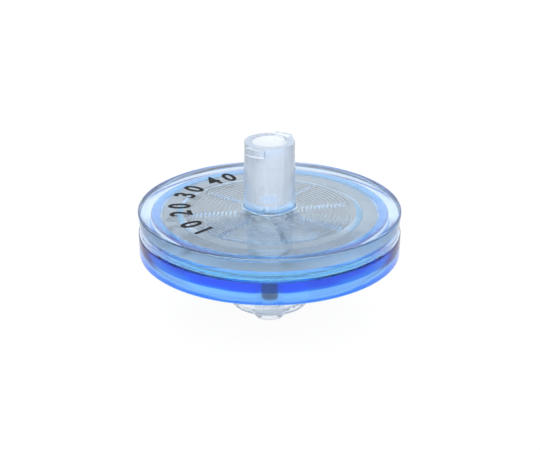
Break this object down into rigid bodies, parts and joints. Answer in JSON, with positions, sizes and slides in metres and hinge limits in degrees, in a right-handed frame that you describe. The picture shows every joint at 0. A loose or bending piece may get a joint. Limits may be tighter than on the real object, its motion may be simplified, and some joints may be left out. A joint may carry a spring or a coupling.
{
  "type": "syringe filter",
  "caption": "Round disposable syringe filter: clear discs with a blue sealing ring and white membrane, Luer-lock socket above, locking tip with collar below.",
  "frame": {"origin": "on the axis, at the end of the outlet tip", "axes": "+Z along the flow axis towards the inlet socket; the discs lie in XY"},
  "size_m": [0.033, 0.033, 0.0238],
  "materials": {
    "inlet_clear": "clear moulded styrene-acrylic plastic, polished",
    "outlet_clear": "clear moulded styrene-acrylic plastic, polished",
    "ring_blue": "see-through blue plastic, moulded in place",
    "membrane_white": "matt white porous membrane"
  },
  "bodies": {
    "root": {"inlet_housing": "inlet_clear", "outlet_housing": "outlet_clear", "seal_ring": "ring_blue", "membrane": "membrane_white"}
  },
  "joints": []
}
